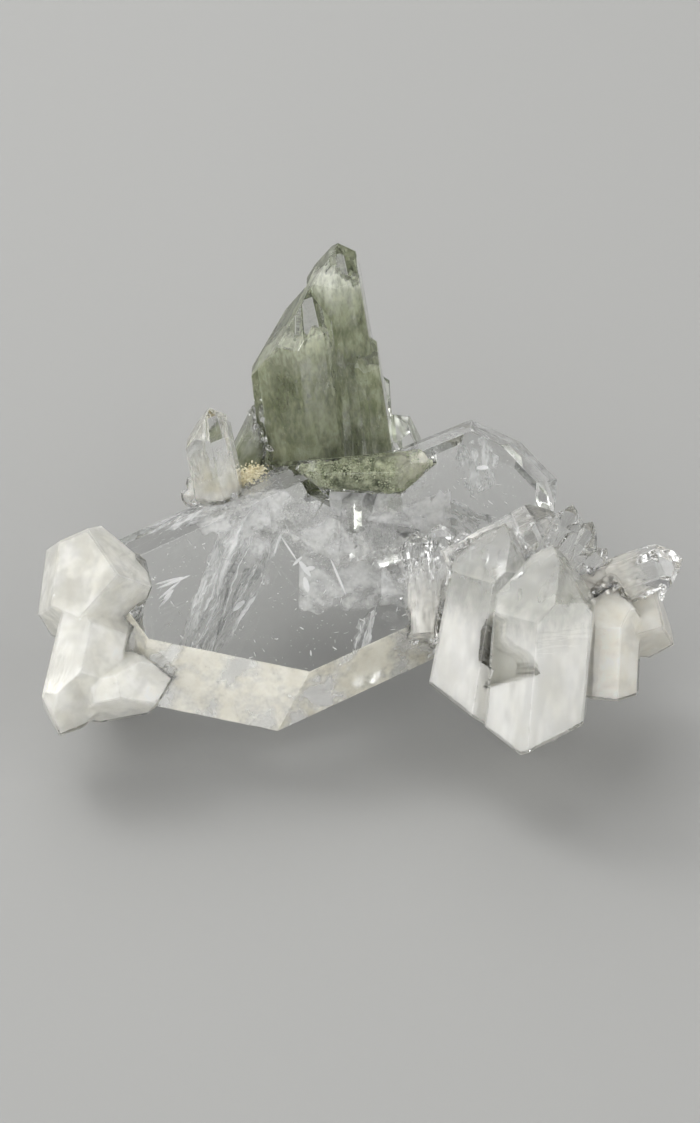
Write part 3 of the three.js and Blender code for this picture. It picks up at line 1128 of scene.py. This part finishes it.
    def fog(self) -> None:
        """The fog beside the thread: wavy sheets over each other."""
        shape = bmesh.new()
        for (right, back), (far_right, far_back) in zip(self.thread, self.thread[1:]):
            across = (PLATE_BACK * 0.8 + PLATE_OUT * 0.5) * self.thread_width * 1.6
            for height in (-0.9, 0.0, 0.8, 1.7):
                ends = (on_plate(right, back, height), on_plate(far_right, far_back, height))
                self._veil(shape, *ends, across, 0.3)
        broad = (
            ((-10.5, 5.6), (-5.5, 1.2), 2.6, 1.5),
            ((-1.5, 3.4), (5.5, 4.2), 3.0, 1.2),
            ((-3.5, -0.5), (5.0, 0.6), 2.6, -0.6),
            ((2.0, -2.0), (6.0, -4.5), 2.2, 1.0),
        )
        for (right, back), (far_right, far_back), width, height in broad:
            across = PLATE_BACK * width + PLATE_OUT * 0.3
            ends = (on_plate(right, back, height), on_plate(far_right, far_back, height))
            self._veil(shape, *ends, across, 0.5)
        add_piece(Piece("plate_fog", FADEN_FOG, "milky_quartz", shading=Shading.SMOOTH), shape)

    def dust(self) -> None:
        """Fine white specks all through the plate, thicker near the thread."""
        swarm = Swarm()
        for _ in range(self.dust_count):
            spot = self._spot((-14, 12), (-10, 9), (-2.2, 2.4))
            near = math.exp(-abs(spot.y - 2.0) / 4.0)
            if self.dice.random() < 0.25 + near and self.solids.depth(self.node, spot) > 0.15:
                grain(swarm.next(), spot, self.dice.uniform(0.012, 0.035), self.dice)
        add_piece(Piece("plate_dust", FADEN_COTTON, "milky_quartz"), swarm.all())

    def cracks(self) -> None:
        """Open cracks: small flat white slivers, a painted reflection of the light that the cracks mirror."""
        swarm = Swarm()
        lines = (
            ((-13.2, -2.1), (-10.7, -0.8), 1.4, 0.12),
            ((-13.3, -1.7), (-11.2, -0.9), 1.2, 0.1),
            ((-13.0, -2.9), (-11.4, -1.2), 1.4, 0.1),
            ((-12.6, -2.9), (-11.9, -1.9), 1.4, 0.14),
            ((-12.9, -3.4), (-12.0, -2.2), 1.2, 0.09),
            ((-8.0, -3.6), (-7.1, -2.6), 1.4, 0.22),
            ((-4.9, 2.2), (-3.6, 0.2), 1.6, 0.08),
            ((-3.6, 0.3), (-2.7, -0.9), 1.6, 0.2),
            ((-3.2, -0.9), (-2.9, -2.1), 1.6, 0.22),
            ((-3.3, -0.5), (-2.4, -0.1), 1.6, 0.2),
            ((-4.0, -0.2), (-3.3, 0.7), 1.6, 0.12),
            ((-1.5, 0.6), (-0.3, -2.3), 1.6, 0.1),
            ((1.6, -3.4), (0.9, -6.0), 1.2, 0.12),
            ((8.6, 7.7), (9.6, 7.9), 1.4, 0.2),
            ((-9.2, -8.0), (-7.8, -9.6), -1.0, 0.15),
            ((-10.2, -7.8), (-8.9, -9.4), -1.2, 0.18),
            ((-10.7, -6.2), (-9.9, -8.2), -0.6, 0.15),
            ((-7.6, -8.8), (-5.6, -9.6), -1.4, 0.1),
        )
        for (right, back), (far_right, far_back), height, width in lines:
            start, end = on_plate(right, back, height), on_plate(far_right, far_back, height - 0.4)
            sliver(swarm.next(), start, end, width, PLATE_OUT)
        for _ in range(420):
            spot = self._spot((-13, 11), (-10, 8), (-1.8, 2.5))
            way = Vector((self.dice.gauss(0, 1), self.dice.gauss(0, 1), self.dice.gauss(0, 0.6))).normalized()
            half = way * self.dice.uniform(0.04, 0.3)
            out = Vector((self.dice.gauss(0, 1), self.dice.gauss(0, 1), self.dice.gauss(1, 1)))
            if self.solids.depth(self.node, spot) > 0.36:
                sliver(swarm.next(), spot - half, spot + half, self.dice.uniform(0.02, 0.06), out)
        # The white of the slivers is painted reflection.
        add_piece(Piece("plate_cracks", CRACK_PAINTED_REFLECTION, "clear_quartz"), swarm.all())

    def film(self) -> None:
        """Painted reflection: a warm white copy of the lower front bevels, just under them, where light
        reflected inside the plate comes out.
        """
        shape = self.solids.copy(self.node)
        # Keeps only the bevels that look down towards the camera, which is where the painted reflection goes.
        drop = [f for f in shape.faces if not (f.normal.y < -0.6 and f.normal.z < 0.55)]
        bmesh.ops.delete(shape, geom=drop, context="FACES")
        for vert in shape.verts:
            inward = sum((face.normal for face in vert.link_faces), Vector()).normalized()
            vert.co -= inward * 0.06
        bmesh.ops.solidify(shape, geom=shape.faces[:], thickness=0.03)
        self.solids.keep_inside(self.node, shape, 0.02)
        add_piece(Piece("bevel_painted_reflection", PAINTED_BEVEL_REFLECTION, "milky_quartz"), shape)

    def build(self) -> None:
        """Makes the plate and what is in it."""
        self.skin()
        self.faden()
        self.veils()
        self.fog()
        self.dust()
        self.cracks()
        self.film()


@dataclass
class Phantom:
    """An earlier shape of a growing prism, dusted with chlorite: six sides and an uneven top."""

    foot: Vector
    top: Vector
    radius: float
    slope: Vector
    turn: float = 0.5

    def add_to(self, shape: bmesh.types.BMesh) -> None:
        """Adds the prism to a mesh."""
        body = bmesh.new()
        axis = self.top - self.foot
        turn = axis.to_track_quat("Z", "Y").to_matrix().to_4x4() @ Matrix.Rotation(self.turn, 4, "Z")
        bmesh.ops.create_cone(
            body,
            cap_ends=True,
            segments=6,
            radius1=self.radius,
            radius2=self.radius * 0.92,
            depth=axis.length * 1.3,
            matrix=Matrix.Translation(self.foot.lerp(self.top, 0.65)) @ turn,
        )
        cut_away(body, self.top, self.slope)
        poured_into(shape, body)


@dataclass
class ChloriteTower:
    """The green prisms: a clear skin, the phantoms inside, their pale crests and dark nests of grains."""

    solids: Solids
    node: str = "chlorite_tower"
    dice: random.Random = field(default_factory=lambda: random.Random(23))

    def skin(self) -> None:
        """The prisms' clear outside, with a breath of green in the depth."""
        clear = RockCrystal("rock_crystal_tower", depth_tint="#dfe5d0", density=40.0, line_height=0.008)
        Skin(self.solids, self.node, Piece("tower_prisms", clear, "chlorite_quartz", (self.node,))).build()

    def _phantom_piece(self, name: str, finish: Cloud, phantoms: Sequence[Phantom]) -> None:
        """Makes the dusted bodies of one prism.

        Args:
            name: the piece's name.
            finish: its dust.
            phantoms: the earlier shapes.
        """
        shape = bmesh.new()
        for phantom in phantoms:
            phantom.add_to(shape)
        body = voxel_body(shape, 0.15)
        body.normal_update()
        for vert in body.verts:
            below = min((phantom.top - vert.co).dot(phantom.slope.normalized()) for phantom in phantoms)
            near_top = min(1.0, max(0.0, 1 - below / 1.6))
            column = Vector((vert.co.x * 0.9, vert.co.y * 0.9, 4.0))
            vert.co += vert.normal * noise.fractal(vert.co * 1.5, 0.8, 2.0, 4) * 0.12
            vert.co.z += near_top * (1.2 * noise.fractal(column, 0.7, 2.2, 5) + 0.15)
        self.solids.keep_inside(self.node, body, 0.3)
        add_piece(Piece(name, finish, "chlorite_quartz", shading=Shading.SMOOTH), body)

    def phantoms(self) -> None:
        """The phantoms of the tall, broad and thin prisms."""
        tall = Phantom(Vector((0.2, 9.3, 8.0)), Vector((-1.4, 9.7, 26.2)), 1.7, Vector((0.35, 0.8, 1)))
        thin = Phantom(Vector((1.4, 8.2, 9.0)), Vector((0.4, 8.5, 20.8)), 1.1, Vector((0.5, 0.5, 1)))
        broad = Phantom(Vector((-2.7, 8.0, 8.0)), Vector((-4.4, 8.2, 22.2)), 2.9, Vector((-0.05, 0.8, 1)))
        self._phantom_piece("tall_phantom", CHLORITE_TALL, (tall, thin))
        self._phantom_piece("broad_phantom", CHLORITE_BROAD, (broad,))

    def grains(self) -> None:
        """Dark nests of chlorite in the broad prism."""
        swarm = Swarm()
        nests = (
            (Vector((-6.3, 6.3, 21.0)), 0.5, 260),
            (Vector((-4.1, 6.0, 19.6)), 0.4, 120),
            (Vector((-4.7, 6.0, 17.2)), 0.9, 380),
            (Vector((-0.2, 8.0, 20.0)), 0.9, 180),
            (Vector((0.8, 8.0, 16.5)), 0.9, 160),
        )
        for middle, width, count in nests:
            for _ in range(count):
                place = middle + Vector([self.dice.gauss(0, width * 0.6) for _ in range(3)])
                if self.solids.depth(self.node, place) > 0.15:
                    grain(swarm.next(), place, self.dice.uniform(0.02, 0.05), self.dice)
        add_piece(Piece("tower_chlorite_grains", DARK_GRAINS, "chlorite_quartz"), swarm.all())

    def build(self) -> None:
        """Makes the tower and what is in it."""
        self.skin()
        self.phantoms()
        self.grains()


@dataclass
class MossyCrystal:
    """The crystal full of moss that lies on the plate."""

    solids: Solids
    node: str = "mossy_crystal"
    grain_count: int = 3500
    dice: random.Random = field(default_factory=lambda: random.Random(31))

    def build(self) -> None:
        """Makes the skin, the mossy body and its grains."""
        tint = {"depth_tint": "#dbe2c6", "density": 50.0}
        clear = RockCrystal("rock_crystal_mossy", axis=(1, 0, 0), etched=0.3, **tint)
        Skin(self.solids, self.node, Piece("mossy_prism", clear, "mossy_chlorite", (self.node,))).build()
        body = voxel_body(self.solids.copy(self.node), 0.14)
        push_in(body, 0.16, 0.5, 0.8, 5.0)
        self.solids.keep_inside(self.node, body, 0.1)
        spots = scattered(body, self.grain_count, self.dice)
        add_piece(Piece("moss_body", CHLORITE_MOSS, "mossy_chlorite", shading=Shading.SMOOTH), body)
        swarm = Swarm()
        for place, out in spots:
            thick = noise.noise(place * 0.9)
            if thick > 0.0 and self.solids.depth(self.node, place) > 0.09:
                grain(swarm.next(), place + out * 0.02, self.dice.uniform(0.03, 0.085), self.dice)
        add_piece(Piece("moss_grains", MOSS_GRAINS, "mossy_chlorite"), swarm.all())


@dataclass
class ClearGroup:
    """Small clear crystals: a skin, and haze that rises from their roots."""

    solids: Solids
    node: str
    skin_name: str
    haze_name: str
    axis: tuple[float, float, float]
    haze: Cloud
    slot: str = "clear_quartz"
    haze_share: float = 0.6
    depth_tint: str = "#e8eee6"
    density: float = 25.0

    def build(self) -> None:
        """Makes the skin and the haze."""
        clear = RockCrystal(
            f"rock_crystal_{self.node}", axis=self.axis, depth_tint=self.depth_tint, density=self.density
        )
        Skin(self.solids, self.node, Piece(self.skin_name, clear, self.slot, (self.node,))).build()
        shape = self.solids.copy(self.node)
        way = Vector(self.axis).normalized()
        reach = [v.co.dot(way) for v in shape.verts]
        low, span = min(reach), max(reach) - min(reach)
        body = voxel_body(shape, 0.12)
        push_in(body, 0.12, 0.3, 1.1, 7.0)
        self.solids.keep_inside(self.node, body, 0.08)
        fade = Fade(self.axis, low + span * self.haze_share * 0.4, low + span * self.haze_share * 1.3)
        name = f"{self.haze.name}_{self.node}"
        haze = replace(self.haze, name=name, fade=fade, axis=self.axis, stretch=0.3)
        add_piece(Piece(self.haze_name, haze, self.slot, shading=Shading.SMOOTH), body)


# The leaning crystal is greenish all through.
GREENISH = {"slot": "chlorite_quartz", "haze_share": 0.8, "depth_tint": "#dfe5d0", "density": 40.0}


@dataclass
class Streaks:
    """White streaks along the milky and clear prisms, inside them: rows of bubbles and thin cracks."""

    solids: Solids
    groups: tuple[tuple[str, tuple[float, float, float], int], ...] = (
        ("right_milky_block", BLOCK_AXIS, 420),
        ("thin_prisms", THIN_AXIS, 260),
        ("slanted_prism", SLANTED, 70),
        ("clear_fan", FAN_AXIS, 110),
        ("far_clear_point", FAR_AXIS, 30),
        ("far_milky_blocks", (0.15, 0.2, 0.95), 120),
        ("left_milky_crystals", (0.1, 0.3, 0.9), 120),
        ("back_left_point", UPRIGHT, 30),
    )
    dice: random.Random = field(default_factory=lambda: random.Random(59))

    def build(self) -> None:
        """Makes them all in one piece."""
        swarm = Swarm()
        for node, axis, count in self.groups:
            way = Vector(axis).normalized()
            for place, out in scattered(self.solids.shapes[node], count, self.dice):
                spot = place - out * self.dice.uniform(0.12, 0.8)
                lean = Vector([self.dice.gauss(0, 0.12) for _ in range(3)])
                half = (way + lean).normalized() * self.dice.uniform(0.1, 0.75)
                ends = (spot - half, spot + half)
                if min(self.solids.depth(node, each) for each in (*ends, spot)) > 0.06:
                    spindle(swarm.next(), *ends, self.dice.uniform(0.012, 0.035))
        add_piece(Piece("white_streaks", FADEN_COTTON, "milky_quartz"), swarm.all())


@dataclass
class Joins:
    """What grows where crystals meet: tiny points, and iron-stained grains behind the plate's left end."""

    solids: Solids
    spots: int = 700
    grain_count: int = 1400
    dice: random.Random = field(default_factory=lambda: random.Random(47))

    def tiny_points(self) -> None:
        """Tiny quartz points along the joins."""
        swarm = Swarm()
        for name in GROWTH_ORDER:
            others = [tree for other, tree in self.solids.trees.items() if other != name]
            for place, out in scattered(self.solids.shapes[name], self.spots, self.dice):
                gaps = [tree.find_nearest(place)[3] for tree in others]
                if 0.05 < min(gaps) < 0.35 and place.z > 1.0 and self.dice.random() < 0.3:
                    lean = Vector([self.dice.gauss(0, 0.5) for _ in range(3)])
                    size = self.dice.uniform(0.08, 0.22)
                    way = (out + lean).normalized()
                    turn = self.dice.uniform(0, 1)
                    tiny_point(swarm.next(), place - out * size, way, size, size * 2.2, turn)
        add_piece(Piece("tiny_points", RockCrystal("rock_crystal_druse"), "clear_quartz"), swarm.all())

    def ochre_grains(self) -> None:
        """Grains behind the left end of the plate."""
        swarm = Swarm()
        start, end = Vector((-9.6, 5.0, 12.6)), Vector((-6.9, 5.6, 13.6))
        for _ in range(self.grain_count):
            place = start.lerp(end, self.dice.random())
            place += Vector((self.dice.gauss(0, 0.35), self.dice.gauss(0, 0.4), self.dice.gauss(0, 0.2)))
            grain(swarm.next(), place, self.dice.uniform(0.04, 0.1), self.dice)
        add_piece(Piece("iron_stained_grains", OCHRE_GRAINS, "milky_quartz"), swarm.all())

    def build(self) -> None:
        """Makes both."""
        self.tiny_points()
        self.ochre_grains()


@dataclass
class Panel:
    """A round soft panel of light, far away."""

    toward: tuple[float, float, float]
    half_width: float
    strength: float
    softness: float = 7.0


@dataclass
class Studio:
    """A pale floor, soft panels round it, and the camera at the photograph's angle.

    Lengths are in millimetres, and the lamp's place and width in metres.
    """

    photo_width: int = 700
    photo_height: int = 1123
    focal_px: float = 2264.148
    tilt: float = 36.0
    eye: tuple[float, float, float] = (-0.597, -125.36, 100.965)
    sensor: float = 36.0
    floor_width: float = 620.0
    floor_hex: str = "#8f8f8d"
    floor_gap: float = 0.01
    surround: float = 0.32
    lamp_place: tuple[float, float, float] = (-0.18, 0.16, 0.3)
    lamp_width: float = 0.14
    lamp_watts: float = 0.4
    bounces: tuple[tuple[str, int], ...] = (
        ("max_bounces", 20),
        ("diffuse_bounces", 6),
        ("transmission_bounces", 20),
        ("glossy_bounces", 12),
        ("transparent_max_bounces", 20),
    )
    panels: tuple[Panel, ...] = (
        Panel((-0.3, 0.55, 0.78), 32.0, 2.6),
        Panel((-0.6, -0.8, 0.4), 36.0, 3.0),
        Panel((0.72, -0.7, 0.34), 30.0, 2.3),
        Panel((1.0, 0.25, 0.35), 18.0, 3.0),
        Panel((-1.0, 0.3, 0.3), 16.0, 3.0),
        Panel((0.5, -0.2, 0.84), 5.0, 9.0, 2.0),
        Panel((-0.75, -0.1, 0.65), 5.0, 9.0, 2.0),
        Panel((0.0, -0.95, 0.3), 5.0, 9.0, 2.0),
    )

    def camera(self) -> None:
        """Sets the camera."""
        data = bpy.data.cameras.new("camera")
        data.sensor_width = self.sensor
        data.lens = self.focal_px * self.sensor / max(self.photo_width, self.photo_height)
        data.clip_start, data.clip_end = 0.005, 5.0
        made = placed("camera", data)
        made.location = Vector(self.eye) * MM
        made.rotation_euler = (math.radians(90 - self.tilt), 0, 0)
        bpy.context.scene.camera = made

    def floor(self) -> None:
        """Lays the floor: matt paper, whose fibres just roughen the light."""
        shape = bmesh.new()
        bmesh.ops.create_grid(shape, x_segments=1, y_segments=1, size=self.floor_width / 2 * MM)
        data = bpy.data.meshes.new("floor")
        shape.to_mesh(data)
        shape.free()
        made = placed("floor", data)
        made.location.z = -self.floor_gap * MM
        material, tree = blank_material("matt_paper")
        places = add(tree, "TexCoord").outputs["Object"]
        fibres = add(tree, "TexNoise", {"Vector": places, "Scale": per_metre(0.8), "Detail": 4.0})
        bump = add(tree, "Bump", {"Height": fibres, "Strength": 0.15, "Distance": 0.05 * MM})
        paper = {"Base Color": linear(self.floor_hex), "Roughness": 0.75, "Normal": bump}
        add(tree, "OutputMaterial", {"Surface": add(tree, "BsdfPrincipled", paper)})
        data.materials.append(material)

    def world(self) -> None:
        """Hangs the panels in a dim surround."""
        world = bpy.data.worlds.new("studio")
        world.use_nodes = True
        bpy.context.scene.world = world
        tree = world.node_tree
        tree.nodes.clear()
        way = add(tree, "TexCoord").outputs["Generated"]
        total = add(tree, "Value").outputs[0]
        total.default_value = self.surround
        for panel in self.panels:
            rim = {
                "From Min": math.cos(math.radians(panel.half_width + panel.softness / 2)),
                "From Max": math.cos(math.radians(panel.half_width - panel.softness / 2)),
            }
            toward = Vector(panel.toward).normalized()
            facing = add(tree, "VectorMath", {0: way, 1: toward}, operation="DOT_PRODUCT").outputs["Value"]
            light = add(
                tree,
                "MapRange",
                {"Value": facing, **rim, "To Max": panel.strength},
                interpolation_type="SMOOTHSTEP",
            )
            total = add(tree, "Math", {0: total, 1: light}, operation="ADD").outputs[0]
        add(tree, "OutputWorld", {"Surface": add(tree, "Background", {"Strength": total})})

    def key_light(self) -> None:
        """A soft lamp up on the left behind, for the shadow and the glints."""
        data = bpy.data.lights.new("key", "AREA")
        data.shape = "DISK"
        data.size = self.lamp_width
        data.energy = self.lamp_watts
        made = placed("key", data)
        made.visible_glossy = False
        made.location = Vector(self.lamp_place)
        made.rotation_euler = made.location.to_track_quat("Z", "Y").to_euler()

    def build(self) -> None:
        """Sets everything up."""
        self.camera()
        self.floor()
        self.world()
        self.key_light()
        bpy.context.scene.view_settings.view_transform = "Standard"
        cycles = bpy.context.scene.cycles
        for name, count in self.bounces:
            setattr(cycles, name, count)


def main() -> None:
    """Builds the studio and then each part of the specimen."""
    logging.basicConfig(level=logging.INFO, format="%(relativeCreated)d %(name)s: %(message)s")
    Studio().build()
    solids = Solids()
    FadenPlate(solids).build()
    ChloriteTower(solids).build()
    MossyCrystal(solids).build()
    milky_skin = RockCrystal("rock_crystal_milky", axis=(0.39, -0.65, 0.69), etched=0.3, polish=0.05)
    block_skin = RockCrystal("rock_crystal_block", axis=BLOCK_AXIS, etched=0.2)
    for node, label, haze, skin, pits in (
        ("left_milky_crystals", "left", MILKY_HAZE, milky_skin, ()),
        ("right_milky_block", "right", BLOCK_HAZE, block_skin, (BLOCK_WINDOW,)),
        ("far_milky_blocks", "far", WARM_HAZE, milky_skin, ()),
    ):
        MilkyGroup(solids, node, f"{label}_prisms", f"{label}_milk", haze, skin, pits=pits).build()
    for node, skin_name, label, axis, haze, extra in (
        ("back_left_point", "left_point", "left_point", (-0.14, 0.07, 1), MILKY_HAZE, {"haze_share": 0.5}),
        ("back_wedge", "leaning_point", "leaning_point", (0.42, 0.15, 0.9), CHLORITE_DUST, GREENISH),
        ("thin_prisms", "side_by_side_prisms", "side_by_side", THIN_AXIS, WISPS, {}),
        ("slanted_prism", "slanted_point", "slanted", SLANTED, WISPS, {}),
        ("clear_fan", "fan_points", "fan", FAN_AXIS, WISPS, {}),
        ("far_clear_point", "far_point", "far_point", FAR_AXIS, WARM_HAZE, {}),
    ):
        ClearGroup(solids, node, skin_name, f"{label}_haze", axis, haze, **extra).build()
    Streaks(solids).build()
    Joins(solids).build()


if __name__ == "__main__":
    main()
